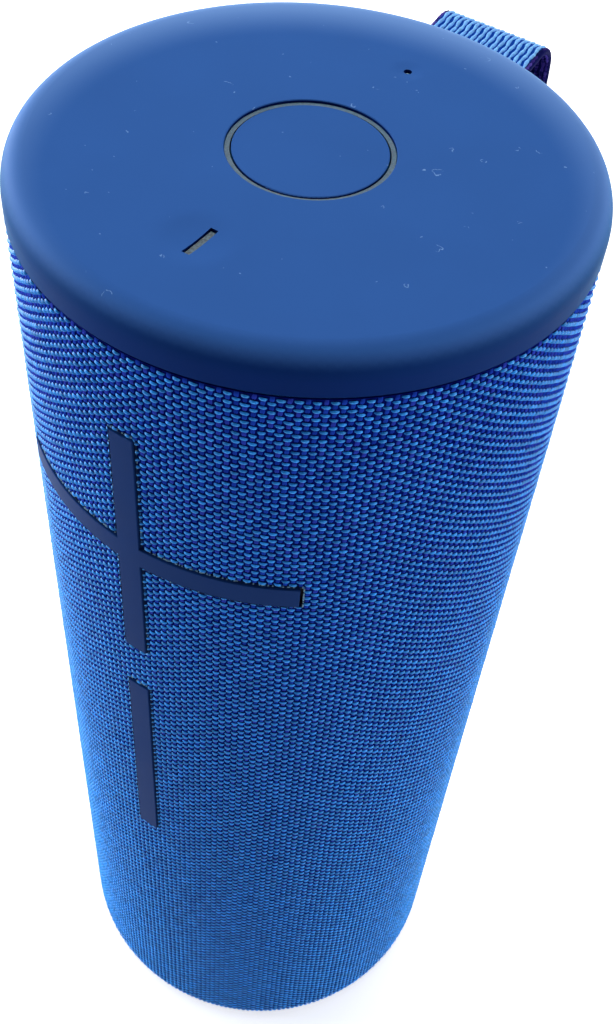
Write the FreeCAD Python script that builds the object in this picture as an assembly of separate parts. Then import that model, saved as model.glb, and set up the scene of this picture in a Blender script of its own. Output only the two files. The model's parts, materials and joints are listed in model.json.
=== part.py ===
import FreeCAD, Part
import math
import os

from FreeCAD import Placement, Rotation, Vector

# Cylindrical portable speaker. Millimetres, +Z up, origin at the centre of the base on the
# surface it stands on. -Y is the front (volume marks), +Y the back (carry loop, socket).

os.makedirs("parts", exist_ok=True)

# Outside
HEIGHT = 225.0
CAP_R = 43.5
FABRIC_R = 43.45
FABRIC_T = 0.9
CAP_EDGE_Z = 217.9
CAP_T = 1.6
CAP_ROUND_R = 3.4
CAP_ROUND_Z = 4.1
FABRIC_TOP_Z = 217.6
FABRIC_ROUND = 2.8
FABRIC_BOTTOM_Z = 1.6
BASE_CAP_R = 41.4

# Top controls
BUTTON_R = 11.3
BUTTON_TOP_Z = HEIGHT - 0.25
RING_IN_R = 11.5
RING_OUT_R = 12.2
RING_TOP_Z = HEIGHT - 0.45
CAP_HOLE_R = 12.3
POWER_X = 0.55
POWER_Y = -26.35
POWER_SLOT = (1.25, 6.3)
PAIRING_Y = 26.4
PAIRING_HOLE_R = 0.65
POWER_DISH = (5.0, 0.4, 18.0)
PAIRING_DISH = (2.3, 0.2, 8.0)
POWER_KEY_Z = HEIGHT - 0.62
PAIRING_KEY_Z = HEIGHT - 0.7
KEY_GAP = 0.2
KEY_STEM_END_Z = 218.2

# Volume marks
MARK_R = FABRIC_R + 0.2
MARK_BACK_R = 42.55
MARK_W = 4.1
PLUS_Z = (151.7, 202.3)
ARM_Z = 177.0
ARM_HALF_DEG = 36.0
MINUS_Z = (89.2, 140.6)
MINUS_STEM_Z = sum(MINUS_Z) / 2
MARK_GAP = 0.35

# Shell and sealed chamber
SHELL_R = 42.45
SHELL_IN_R = 40.4
CHAMBER_R = 38.5
CHAMBER_WALL = 2.4
FLOOR_T = 2.6
CHAMBER_Z = (30.0, 206.0)
FLAT_X = 27.0
FLAT_Z = (40.0, 188.0)
LID_Z = (206.6, 209.2)
DRIVER_Z = 158.0
RADIATOR_Z = 84.0
RADIATOR_HALF = 15.0

# Carry loop
STRAP_W = 20.0
STRAP_T = 1.6
STRAP_TOP_Z = 216.95
STRAP_LOW_Z = 190.5
STRAP_OUT_Y = 59.3
STRAP_END_Y = 34.3

# Charging socket
SOCKET_Z = 20.3
BEZEL = (15.0, 9.0, 2.5)

# Fasteners: housing screws M2.5 x 8, small screws M2 x 5
HOUSING_SCREW = (2.25, 1.7, 1.2, 8.0)
SMALL_SCREW = (1.7, 1.2, 0.95, 5.0)

UP = Vector(0, 0, 1)
FRONT = Vector(0, -1, 0)
BACK = Vector(0, 1, 0)


def save(name, shape):
    """Write one named piece; a piece of several solids goes out as a group of them."""
    solids = shape.Solids
    body = solids[0] if len(solids) == 1 else Part.makeCompound(solids)
    if not body.isValid():
        print("not valid:", name)
    body.exportStep(f"parts/{name}.step")


def cyl(radius, z0, z1, x=0.0, y=0.0):
    return Part.makeCylinder(radius, z1 - z0, Vector(x, y, z0))


def tube(outer, inner, z0, z1, x=0.0, y=0.0):
    return cyl(outer, z0, z1, x, y).cut(cyl(inner, z0 - 1, z1 + 1, x, y))


def box(x0, x1, y0, y1, z0, z1):
    return Part.makeBox(x1 - x0, y1 - y0, z1 - z0, Vector(x0, y0, z0))


def cyl_y(radius, y0, y1, x, z):
    """Cylinder along Y from y0 to y1."""
    return Part.makeCylinder(radius, y1 - y0, Vector(x, y0, z), BACK)


def fuse(shapes):
    first, *rest = shapes
    return first.fuse(rest).removeSplitter()


def cut(base, tools):
    return base.cut(list(tools))


def polar(radius, degrees):
    return radius * math.cos(math.radians(degrees)), radius * math.sin(math.radians(degrees))


def placed(shape, origin, direction):
    """The shape with its own +Z turned to direction and its own origin moved to origin."""
    copy = shape.copy()
    copy.Placement = Placement(origin, Rotation(UP, direction)).multiply(copy.Placement)
    return copy


def outline(start, *steps):
    """Closed wire in the XZ plane. A step is (x, z) for a line or ((x, z), (x, z)) for an arc."""
    def point(pair):
        return Vector(pair[0], 0, pair[1])

    edges = []
    here = start
    for step in (*steps, start):
        if isinstance(step[0], tuple):
            edges.append(Part.Arc(point(here), point(step[0]), point(step[1])).toShape())
            here = step[1]
        elif step != here:
            edges.append(Part.LineSegment(point(here), point(step)).toShape())
            here = step
    return Part.Wire(edges)


def turned(start, *steps, degrees=360):
    """The outline turned round the Z axis."""
    return Part.Face(outline(start, *steps)).revolve(Vector(0, 0, 0), UP, degrees)


def screw(size):
    """Pan-head screw with its head above the origin and its shaft below it."""
    head_r, head_h, shaft_r, length = size
    body = fuse([cyl(head_r, 0, head_h), cyl(shaft_r, -length, 0)])
    arm = head_r * 0.6
    low = head_h - 0.6
    cross = [box(-arm, arm, -0.3, 0.3, low, head_h + 1), box(-0.3, 0.3, -arm, arm, low, head_h + 1)]
    return cut(body, cross)


def pilot(size, origin, direction, slack=0.02):
    """The hole that a screw's shaft sits in."""
    _, _, shaft_r, length = size
    return placed(cyl(shaft_r + slack, -length - 0.5, 0.5), origin, direction)


def racetrack(radius, z0, z1, half=RADIATOR_HALF):
    """Upright prism of a racetrack whose long axis is Y, with end radius and half straight."""
    middle = box(-radius, radius, -half, half, z0, z1)
    return fuse([middle, cyl(radius, z0, z1, 0, half), cyl(radius, z0, z1, 0, -half)])


def racetrack_sweep(start, *steps, half=RADIATOR_HALF):
    """A cross-section, drawn at distance x from the centre line, carried round the racetrack."""
    pieces = []
    for sign in (1, -1):
        end = turned(start, *steps, degrees=180)
        end.rotate(Vector(0, 0, 0), UP, 0 if sign > 0 else 180)
        end.translate(Vector(0, sign * half, 0))
        side = Part.Face(outline(start, *steps)).extrude(Vector(0, 2 * half, 0))
        side.rotate(Vector(0, 0, 0), UP, 0 if sign > 0 else 180)
        side.translate(Vector(0, -sign * half, 0))
        pieces += [end, side]
    return fuse(pieces)


# Positions of the fasteners, each a point under the head and the direction the head faces

LID_SCREW_DEG = (0, 50, 130, 180, 230, 310)
POST_DEG = (20, 160, 200, 340)
POST_R = 35.2
POST_JOIN_Z = 215.5
FRAME_SEAT_Z = 219.4
BASE_POST_DEG = (30, 150, 210, 330)
BASE_POST_R = 33.0
BASE_SEAT_Z = 24.0
BOARD_Z = (211.9, 213.5)
BOARD_SCREW_DEG = (0, 135, 225)
BOARD_SCREW_R = 28.5
DRIVER_EAR_R = 27.0
RADIATOR_EAR_R = 28.0
FLANGE_T = 2.0
VOLUME_BOARD_Y = (-34.0, -32.7)
VOLUME_SCREW_Z = (130.0, 165.0)
ANCHOR_Y = (34.1, 36.9)
ANCHOR_SCREW_Z = (196.0, 206.0)
MAIN_BOARD_Y = (24.5, 26.1)
MAIN_BOARD_SCREWS = [(x, z) for x in (-17.0, 17.0) for z in (60.0, 145.0)]
USB_BOARD_Z = (17.8, 18.95)
USB_SCREW_X = (-7.0, 7.0)
USB_SCREW_Y = 27.0


def housing_screw_seats():
    seats = []
    for angle in POST_DEG:
        x, y = polar(POST_R, angle)
        seats.append((Vector(x, y, FRAME_SEAT_Z), UP))
    for angle in LID_SCREW_DEG:
        x, y = polar(34.2, angle)
        seats.append((Vector(x, y, LID_Z[1]), UP))
    for angle in BASE_POST_DEG:
        x, y = polar(BASE_POST_R, angle)
        seats.append((Vector(x, y, BASE_SEAT_Z), -UP))
    return seats


def ear_points(distance, half):
    """Local x, y of four flange ears, on the diagonals beyond the ends of the straight part."""
    step = distance * math.sqrt(0.5)
    return [(sx * step, sy * (step + half)) for sx in (-1, 1) for sy in (-1, 1)]


def speaker_seats(side):
    """Screw seats of the driver and the radiator on one side (+1 right, -1 left)."""
    seats = []
    face_x = side * (FLAT_X + FLANGE_T)
    speakers = ((DRIVER_Z, DRIVER_EAR_R, 0.0), (RADIATOR_Z, RADIATOR_EAR_R, RADIATOR_HALF))
    for centre_z, distance, half in speakers:
        for x, y in ear_points(distance, half):
            seats.append((Vector(face_x, x, centre_z + y), Vector(side, 0, 0)))
    return seats


def small_screw_seats():
    seats = speaker_seats(1) + speaker_seats(-1)
    for angle in BOARD_SCREW_DEG:
        x, y = polar(BOARD_SCREW_R, angle)
        seats.append((Vector(x, y, BOARD_Z[0]), -UP))
    seats += [(Vector(0, VOLUME_BOARD_Y[0], z), FRONT) for z in VOLUME_SCREW_Z]
    seats += [(Vector(0, ANCHOR_Y[1], z), BACK) for z in ANCHOR_SCREW_Z]
    seats += [(Vector(x, MAIN_BOARD_Y[0], z), FRONT) for x, z in MAIN_BOARD_SCREWS]
    seats += [(Vector(x, USB_SCREW_Y, USB_BOARD_Z[1]), UP) for x in USB_SCREW_X]
    return seats


def all_pilots():
    housing = [pilot(HOUSING_SCREW, *seat) for seat in housing_screw_seats()]
    small = [pilot(SMALL_SCREW, *seat) for seat in small_screw_seats()]
    return housing + small


PILOTS = all_pilots()


def drilled(shape):
    """Cut the pilot of every screw that passes through the piece."""
    bounds = shape.BoundBox
    hit = [hole for hole in PILOTS if bounds.intersect(hole.BoundBox)]
    return cut(shape, hit) if hit else shape


def make_screws():
    for name, size, seats in (
        ("housing_screws", HOUSING_SCREW, housing_screw_seats()),
        ("small_screws", SMALL_SCREW, small_screw_seats()),
    ):
        save(name, Part.makeCompound([placed(screw(size), *seat) for seat in seats]))


# Cap and top controls

def finger_dish(y, radius, depth):
    """Ball that leaves a shallow dish of that radius and depth in the top face."""
    ball_r = (radius ** 2 + depth ** 2) / (2 * depth)
    return Part.makeSphere(ball_r, Vector(0, y, HEIGHT - depth + ball_r))


def power_slot(extra, z0, z1):
    half_w, half_l = (side / 2 + extra for side in POWER_SLOT)
    return box(POWER_X - half_w, POWER_X + half_w, POWER_Y - half_l, POWER_Y + half_l, z0, z1)


def make_top_cap():
    under = HEIGHT - CAP_T
    wall_r = CAP_R - CAP_T
    shoulder = Part.BezierCurve()
    shoulder.setPoles([
        Vector(CAP_R - CAP_ROUND_R, 0, HEIGHT),
        Vector(CAP_R - CAP_ROUND_R * 0.42, 0, HEIGHT),
        Vector(CAP_R, 0, HEIGHT - CAP_ROUND_Z * 0.42),
        Vector(CAP_R, 0, HEIGHT - CAP_ROUND_Z),
    ])
    corners = [
        (CAP_R, CAP_EDGE_Z + 0.4),
        (CAP_R - 0.4, CAP_EDGE_Z),
        (wall_r, CAP_EDGE_Z),
        (wall_r, under - 2.4),
        (wall_r - 2.3, under),
        (CAP_HOLE_R, under),
        (CAP_HOLE_R, HEIGHT - 0.12),
        (CAP_HOLE_R + 0.12, HEIGHT),
    ]
    points = [shoulder.EndPoint] + [Vector(r, 0, z) for r, z in corners] + [shoulder.StartPoint]
    edges = [shoulder.toShape()] + [Part.LineSegment(a, b).toShape() for a, b in zip(points, points[1:])]
    cap = Part.Face(Part.Wire(edges)).revolve(Vector(0, 0, 0), UP, 360)
    for y, (radius, depth, blend) in ((POWER_Y, POWER_DISH), (PAIRING_Y, PAIRING_DISH)):
        cap = cap.cut(finger_dish(y, radius, depth))
        rims = [e for e in cap.Edges if e.Closed and is_rim(e, y, radius)]
        cap = cap.makeFillet(blend, rims)
    holes = [power_slot(0, under - 1, HEIGHT + 1), cyl(PAIRING_HOLE_R, under - 1, HEIGHT + 1, 0, PAIRING_Y)]
    save("top_cap", cut(cap, holes))


def is_rim(edge, y, radius):
    """True for the rim of a dish of that radius, centred at y in the top face."""
    extent = edge.BoundBox
    same_height = abs(extent.ZMin - HEIGHT) < 0.01 and abs(extent.ZMax - HEIGHT) < 0.01
    return same_height and abs(extent.YMin - (y - radius)) < 0.1 and abs(extent.YMax - (y + radius)) < 0.1


def make_top_frame():
    top = HEIGHT - CAP_T - 0.1
    wall_r = CAP_R - CAP_T - 0.1
    plate = turned(
        (17.3, 221.1), (38.2, 221.1), (38.2, 213.5), (40.2, 213.5), (40.2, 218.9),
        (wall_r, 218.9), (wall_r, top - 2.3), (wall_r - 2.3, top), (17.3, top),
    )
    lugs = []
    seats = []
    for angle in POST_DEG:
        x, y = polar(POST_R, angle)
        lugs.append(cyl(3.4, POST_JOIN_Z, 221.5, x, y))
        seats.append(cyl(2.45, FRAME_SEAT_Z, top + 1, x, y))
    bosses = [cyl(2.4, BOARD_Z[1], 221.5, *polar(BOARD_SCREW_R, angle)) for angle in BOARD_SCREW_DEG]
    holes = [power_slot(0, 219, top + 1), cyl(PAIRING_HOLE_R, 219, top + 1, 0, PAIRING_Y)]
    strap_room = box(-14.2, 14.2, 33.0, 45.0, 213.0, 219.3)
    save("top_frame", drilled(cut(fuse([plate, *lugs, *bosses]), seats + holes + [strap_room])))


def make_light_ring():
    ring = turned(
        (RING_IN_R, 220.5), (17.1, 220.5), (17.1, 223.2), (RING_OUT_R, 223.2),
        (RING_OUT_R, RING_TOP_Z), (RING_IN_R, RING_TOP_Z),
    )
    save("light_ring", ring)


def make_action_button():
    edge = 0.18
    bulge = edge * (1 - math.sqrt(0.5))
    rim_mid = (BUTTON_R - bulge, BUTTON_TOP_Z - bulge)
    shell = turned(
        (0, 222.6), (9.9, 222.6), (9.9, 219.0), (13.6, 219.0), (13.6, 220.2), (BUTTON_R, 220.2),
        (BUTTON_R, BUTTON_TOP_Z - edge), (rim_mid, (BUTTON_R - edge, BUTTON_TOP_Z)), (0, BUTTON_TOP_Z),
    )
    save("action_button", fuse([shell, cyl(1.8, KEY_STEM_END_Z, 223.0)]))


def make_top_keys():
    bar = power_slot(-KEY_GAP, 220.0, POWER_KEY_Z)
    flange = cyl(4.4, 219.6, 220.8, 0, POWER_Y)
    save("power_key", fuse([bar, flange, cyl(1.5, KEY_STEM_END_Z, 220.0, 0, POWER_Y)]))
    pin = cyl(PAIRING_HOLE_R - KEY_GAP, 220.0, PAIRING_KEY_Z, 0, PAIRING_Y)
    flange = cyl(2.4, 219.6, 220.8, 0, PAIRING_Y)
    save("pairing_key", fuse([pin, flange, cyl(1.2, KEY_STEM_END_Z, 220.0, 0, PAIRING_Y)]))


def make_top_switches():
    housings = []
    for name, y in (("action", 0.0), ("power", POWER_Y), ("pairing", PAIRING_Y)):
        body = box(-3, 3, y - 3, y + 3, BOARD_Z[1], 217.0)
        housings.append(body.cut(cyl(1.75, 214.5, 218.0, 0, y)))
        save(f"{name}_switch_plunger", cyl(1.55, 215.2, KEY_STEM_END_Z, 0, y))
    save("top_switch_housings", Part.makeCompound(housings))


def make_button_board():
    save("button_board", drilled(cut(cyl(31.5, *BOARD_Z), [box(-15, -4, 17.4, 18.6, 211, 214)])))
    leds = []
    for angle in range(0, 360, 60):
        x, y = polar(15.6, angle)
        leds.append(box(x - 1.0, x + 1.0, y - 0.65, y + 0.65, BOARD_Z[1], BOARD_Z[1] + 0.8))
    save("ring_leds", Part.makeCompound(leds))


# Sleeve, shell and volume marks

def mark_solid(name, r_out, r_in, grow):
    """The plus or the minus as a piece of tube wall, grown sideways by grow."""
    low, high = PLUS_Z if name == "plus" else MINUS_Z
    half = MARK_W / 2 + grow
    wall = tube(r_out, r_in, low - grow, high + grow)
    bar = wall.common(box(-half, half, -60, 0, low - grow, high + grow))
    if name == "minus":
        return bar
    angle = ARM_HALF_DEG + math.degrees(grow * 2 / FABRIC_R)
    sector = tube(r_out, r_in, ARM_Z - half, ARM_Z + half)
    wedge = Part.makeCylinder(r_out + 1, MARK_W + 2 * grow, Vector(0, 0, ARM_Z - half), UP, 2 * angle)
    wedge.rotate(Vector(0, 0, 0), UP, -90 - angle)
    return fuse([bar, sector.common(wedge)])


def make_volume_buttons():
    for name, mark, stem_z in (("volume_up", "plus", ARM_Z), ("volume_down", "minus", MINUS_STEM_Z)):
        face = mark_solid(mark, MARK_R, MARK_BACK_R, 0.0)
        rim = [e for e in face.Edges if on_outer_rim(e)]
        face = face.makeFillet(0.12, rim)
        stem = cyl_y(1.6, -MARK_BACK_R - 0.4, -36.6, 0, stem_z)
        save(f"{name}_button", fuse([face, stem]))
        save(f"{name}_plunger", cyl_y(1.5, -36.6, -35.1, 0, stem_z))


def on_outer_rim(edge):
    return all(abs(math.hypot(v.X, v.Y) - MARK_R) < 0.01 for v in edge.Vertexes)


def strap_slits(r_in, half_w, half_h):
    """The slots that the two ends of the carry loop pass through."""
    top = box(-half_w, half_w, r_in - 10, 50, STRAP_TOP_Z - half_h, HEIGHT)
    low = box(-half_w, half_w, r_in - 10, 50, STRAP_LOW_Z - half_h, STRAP_LOW_Z + half_h)
    return [top, low]


def rounded_y(width, height, radius, y0, y1):
    """Prism along Y with a rounded rectangle for its section, at the socket's height."""
    w = width / 2 - radius
    h = height / 2 - radius
    parts = [
        box(-width / 2, width / 2, y0, y1, SOCKET_Z - h, SOCKET_Z + h),
        box(-w, w, y0, y1, SOCKET_Z - height / 2, SOCKET_Z + height / 2),
    ]
    parts += [cyl_y(radius, y0, y1, sx * w, SOCKET_Z + sz * h) for sx in (-1, 1) for sz in (-1, 1)]
    return fuse(parts)


def make_fabric_sleeve():
    inner = FABRIC_R - FABRIC_T
    centre = (FABRIC_R - FABRIC_ROUND, FABRIC_BOTTOM_Z + FABRIC_ROUND)
    outer_mid = tuple(c + s * FABRIC_ROUND * math.sqrt(0.5) for c, s in zip(centre, (1, -1)))
    inner_mid = tuple(c + s * (FABRIC_ROUND - FABRIC_T) * math.sqrt(0.5) for c, s in zip(centre, (1, -1)))
    sleeve = turned(
        (inner, FABRIC_TOP_Z), (FABRIC_R, FABRIC_TOP_Z), (FABRIC_R, centre[1]),
        (outer_mid, (centre[0], FABRIC_BOTTOM_Z)), (centre[0], FABRIC_BOTTOM_Z + FABRIC_T),
        (inner_mid, (inner, centre[1])),
    )
    windows = [mark_solid(mark, FABRIC_R + 1, inner - 1, MARK_GAP) for mark in ("plus", "minus")]
    width, height, radius = BEZEL
    windows.append(rounded_y(width + 0.4, height + 0.4, radius + 0.2, 30, 50))
    windows += strap_slits(inner, STRAP_W / 2 + 0.3, STRAP_T / 2 + 0.2)
    save("fabric_sleeve", cut(sleeve, windows))


def make_grille_shell():
    bottom_r = SHELL_R - SHELL_IN_R
    bottom_z = 2.6
    arc_mid = (SHELL_IN_R + bottom_r * math.sqrt(0.5), bottom_z + bottom_r * (1 - math.sqrt(0.5)))
    wall = turned(
        (SHELL_IN_R, bottom_z), (arc_mid, (SHELL_R, bottom_z + bottom_r)), (SHELL_R, 217.4),
        (41.8, 217.4), (41.8, 218.8), (SHELL_IN_R, 218.8),
    )
    tools = []
    for mark in ("plus", "minus"):
        tools.append(mark_solid(mark, SHELL_R + 1, 41.6, 1.0))
    for z in (ARM_Z, MINUS_STEM_Z):
        tools.append(cyl_y(2.1, -45, -38, 0, z))
    tools += strap_slits(SHELL_IN_R, STRAP_W / 2 + 0.5, STRAP_T / 2 + 0.3)
    width, height, radius = BEZEL
    tools.append(rounded_y(width + 0.4, height + 0.4, radius + 0.2, 30, 50))
    for side in (0, 180):
        for column in range(-3, 4):
            for row in range(9):
                slot = box(SHELL_IN_R - 2, SHELL_R + 2, -2.4, 2.4, 46.0 + 16 * row, 58.0 + 16 * row)
                slot.rotate(Vector(0, 0, 0), UP, side + 11 * column)
                tools.append(slot)
    save("grille_shell", cut(wall, tools))


def make_volume_switches():
    board = box(-7.5, 7.5, *VOLUME_BOARD_Y, 108.0, 187.0)
    save("volume_board", drilled(board))
    housings = []
    for z in (ARM_Z, MINUS_STEM_Z):
        body = box(-3, 3, -36.0, VOLUME_BOARD_Y[0], z - 3, z + 3)
        housings.append(body.cut(cyl_y(1.75, -37.0, -34.3, 0, z)))
    save("volume_switch_housings", Part.makeCompound(housings))


# Carry loop

def mitred(points, offset):
    """The polyline moved sideways by offset, with its corners kept sharp."""
    moved = []
    last = len(points) - 1
    for i, (y, z) in enumerate(points):
        before = points[i - 1] if i > 0 else None
        after = points[i + 1] if i < last else None
        normals = []
        for a, b in ((before, (y, z)), ((y, z), after)):
            if a and b:
                length = math.dist(a, b)
                normals.append((-(b[1] - a[1]) / length, (b[0] - a[0]) / length))
        ny = sum(n[0] for n in normals)
        nz = sum(n[1] for n in normals)
        scale = offset * len(normals) / (ny * ny + nz * nz)
        moved.append((y + ny * scale, z + nz * scale))
    return moved


def rounded_edges(points, radii):
    """Lines joined by tangent arcs, through a polyline in the YZ plane."""
    corners = [Vector(0, y, z) for y, z in points]
    edges = []
    here = corners[0]
    for i, radius in enumerate(radii, 1):
        corner = corners[i]
        back = (corners[i - 1] - corner).normalize()
        on = (corners[i + 1] - corner).normalize()
        half = back.getAngle(on) / 2
        reach = radius / math.tan(half)
        middle = corner + (back + on).normalize() * (radius / math.sin(half) - radius)
        enter = corner + back * reach
        leave = corner + on * reach
        edges.append(Part.LineSegment(here, enter).toShape())
        edges.append(Part.Arc(enter, middle, leave).toShape())
        here = leave
    edges.append(Part.LineSegment(here, corners[-1]).toShape())
    return edges


def ribbon(points, bends, thickness, x0, x1):
    """Flat band along a path in the YZ plane. A bend is (radius at the centre line, turn sign)."""
    sides = []
    for offset in (thickness / 2, -thickness / 2):
        radii = [radius - sign * offset for radius, sign in bends]
        sides.append(rounded_edges(mitred(points, offset), radii))
    first, second = sides
    ends = []
    for index in (0, -1):
        a = first[index].Vertexes[0 if index == 0 else -1].Point
        b = second[index].Vertexes[0 if index == 0 else -1].Point
        ends.append(Part.LineSegment(a, b).toShape())
    face = Part.Face(Part.Wire(Part.__sortEdges__(first + second + ends)))
    face.translate(Vector(x0, 0, 0))
    return face.extrude(Vector(x1 - x0, 0, 0))


def make_strap_loop():
    path = [
        (STRAP_END_Y, STRAP_TOP_Z),
        (46.5, STRAP_TOP_Z),
        (STRAP_OUT_Y - 0.9, 219.6),
        (STRAP_OUT_Y + 0.2, 212.0),
        (STRAP_OUT_Y - 0.9, 199.5),
        (48.0, STRAP_LOW_Z),
        (STRAP_END_Y, STRAP_LOW_Z),
    ]
    bends = [(8.0, 1), (3.9, -1), (25.0, -1), (10.0, -1), (5.0, 1)]
    save("strap_loop", ribbon(path, bends, STRAP_T, -STRAP_W / 2, STRAP_W / 2))


def make_strap_anchor():
    plate = box(-13, 13, *ANCHOR_Y, 186.0, 219.0)
    slots = [
        box(-10.3, 10.3, 30, 45, z - STRAP_T / 2 - 0.1, z + STRAP_T / 2 + 0.1)
        for z in (STRAP_TOP_Z, STRAP_LOW_Z)
    ]
    save("strap_anchor", drilled(cut(plate, slots)))


# Sealed chamber and what it carries

def flats(x, z0, z1):
    return [box(x, 50, -50, 50, z0, z1), box(-50, -x, -50, 50, z0, z1)]


def chamber_bosses():
    """Pads inside the chamber wall that give the screws their thread."""
    pads = []
    for side in (1, -1):
        for seat, _ in speaker_seats(side):
            centre = Vector(side * (FLAT_X - 1), seat.y, seat.z)
            pads.append(placed(cyl(2.6, 0, 4.4), centre, Vector(-side, 0, 0)))
    pads += [cyl_y(2.6, -31.5, -28.0, 0, z) for z in VOLUME_SCREW_Z]
    pads += [cyl_y(2.4, MAIN_BOARD_Y[1], 33.0, x, z) for x, z in MAIN_BOARD_SCREWS]
    pads += [cyl(3.0, 31.0, 36.5, *polar(BASE_POST_R, angle)) for angle in BASE_POST_DEG]
    return pads


def make_acoustic_chamber():
    low, high = CHAMBER_Z
    skin = CHAMBER_WALL
    outer = cut(cyl(CHAMBER_R, low, high), flats(FLAT_X, *FLAT_Z))
    inner_flats = flats(FLAT_X - skin, FLAT_Z[0] - skin, FLAT_Z[1] + skin)
    void = cut(cyl(CHAMBER_R - skin, low + FLOOR_T, high + 1), inner_flats)
    flange = tube(CHAMBER_R - 1, 32.3, 199.5, high)
    front = box(-11.4, 11.4, -37.5, -30.1, 104.0, 192.0).common(cyl(CHAMBER_R - 1, 100, 195))
    rear = box(-16.4, 16.4, 31.6, 37.5, 181.0, high).common(cyl(CHAMBER_R - 1, 180, high))
    body = fuse([cut(outer, [void]), flange, front, rear, *chamber_bosses()])
    tools = [box(-9, 9, -45, -32.5, 106.4, 189.6), box(-14, 14, 34.0, 45, 183.4, high + 1)]
    for side in (1, -1):
        driver_hole = cyl(23.8, -1, 8, 0, 0)
        radiator_hole = racetrack(22.8, -1, 8)
        for hole, z in ((driver_hole, DRIVER_Z), (radiator_hole, RADIATOR_Z)):
            tools.append(on_side(hole, side, z, FLAT_X - 5))
    save("acoustic_chamber", drilled(cut(body, tools)))


def on_side(shape, side, z, x):
    """Local +Z to the side's outward X, local Y to the object's Z, at height z and distance x."""
    turn = Rotation(Vector(0, side, 0), Vector(0, 0, 1), Vector(side, 0, 0), "ZXY")
    copy = shape.copy()
    copy.Placement = Placement(Vector(side * x, 0, z), turn).multiply(copy.Placement)
    return copy


def make_lid():
    notch = box(-14, 14, 34.0, 45, 200, 215)
    ribbon_slit = box(-15, -4, 21.0, 23.0, 200, 215)
    save("lid_gasket", drilled(cut(tube(CHAMBER_R, 32.4, CHAMBER_Z[1], LID_Z[0]), [notch])))
    posts = [cyl(2.8, LID_Z[1] - 0.5, POST_JOIN_Z, *polar(POST_R, angle)) for angle in POST_DEG]
    lid = fuse([cyl(CHAMBER_R, *LID_Z), *posts])
    save("chamber_lid", drilled(cut(lid, [notch, ribbon_slit])))


def make_driver(label, side):
    """50 mm full-range driver, drawn about its own axis with its seat at z = 0."""
    def put(part, shape):
        save(f"driver_{part}_{label}", on_side(shape, side, DRIVER_Z, FLAT_X))

    basket = turned(
        (23.2, FLANGE_T), (26.0, FLANGE_T), (26.0, 0), (23.6, 0), (15.6, -13.2), (9.5, -13.2), (9.5, -11.8),
        (14.7, -11.8), (22.0, 0), (23.2, 0.6),
    )
    ears = [cyl(3.0, 0, FLANGE_T, x, y) for x, y in ear_points(DRIVER_EAR_R, 0)]
    ears = [ear.cut(cyl(24.5, -1, 3)) for ear in ears]
    holes = [cyl(0.97, -1, 3, x, y) for x, y in ear_points(DRIVER_EAR_R, 0)]
    windows = []
    for quarter in range(4):
        window = box(14, 24, -6, 6, -10.6, -2.2)
        window.rotate(Vector(0, 0, 0), UP, 90 * quarter)
        windows.append(window)
    put("frame", cut(fuse([basket, *ears]), holes + windows))
    put("yoke", cut(cyl(9.45, -23.5, -12.9), [cyl(6.75, -21.0, -12)]))
    put("magnet", cyl(5.9, -21.0, -13.0))
    cone = turned(
        (6.45, -17.5), (6.45, -8.2), (20.6, 1.4), (20.6, 1.95), (19.9, 1.95), (6.2, -7.6), (6.2, -17.5),
    )
    put("cone", cone)
    surround = turned(
        (19.6, 2.0), (20.7, 2.0), ((22.4, 3.6), (24.1, 2.0)), (25.1, 2.0), (25.1, 2.4), (24.5, 2.4),
        ((22.4, 4.1), (20.3, 2.4)), (19.6, 2.4),
    )
    put("surround", surround)
    dome_r = 12.0
    centre = Vector(0, 0, -14.4)
    dome = Part.makeSphere(dome_r, centre).cut(Part.makeSphere(dome_r - 0.4, centre))
    put("dust_cap", dome.common(cyl(8.1, -8.0, 0)))


def make_radiator(label, side):
    """Oval passive radiator, drawn about its own axis with its seat at z = 0."""
    def put(part, shape):
        save(f"radiator_{part}_{label}", on_side(shape, side, RADIATOR_Z, FLAT_X))

    points = ear_points(RADIATOR_EAR_R, RADIATOR_HALF)
    ears = [cyl(3.0, 0, FLANGE_T, x, y).cut(racetrack(25.0, -1, 3)) for x, y in points]
    holes = [cyl(0.97, -1, 3, x, y) for x, y in points]
    put("frame", cut(fuse([racetrack(27.0, 0, FLANGE_T), *ears]), [racetrack(22.5, -1, 3), *holes]))
    plate = fuse([racetrack(17.2, 0.0, 1.95), racetrack(9.0, -3.4, 0.0)])
    put("plate", plate)
    roll = racetrack_sweep(
        (15.8, 2.0), (17.4, 2.0), ((19.95, 4.2), (22.5, 2.0)), (26.0, 2.0), (26.0, 2.45), (22.8, 2.45),
        ((19.95, 4.75), (17.1, 2.45)), (15.8, 2.45),
    )
    put("surround", roll)


def make_battery():
    cell_r = 9.2
    cells = (("battery_cell_front", -9.8), ("battery_cell_rear", 9.8))
    for name, y in cells:
        can = turned(
            (0, 48.0), (cell_r, 48.0), (cell_r, 112.2), (8.6, 113.0), (3.0, 113.0), (3.0, 113.8), (0, 113.8)
        )
        can.translate(Vector(0, y, 0))
        save(name, can)
    tray = box(-11.0, 3.0, -20.6, 20.6, 44.0, 117.0)
    foot = box(-11.0, 3.0, -8, 8, CHAMBER_Z[0] + FLOOR_T, 44.0)
    bores = [cyl(cell_r + 0.1, 47.9, 113.9, 0, y) for _, y in cells]
    save("battery_holder", cut(fuse([tray, foot]), bores))


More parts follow.
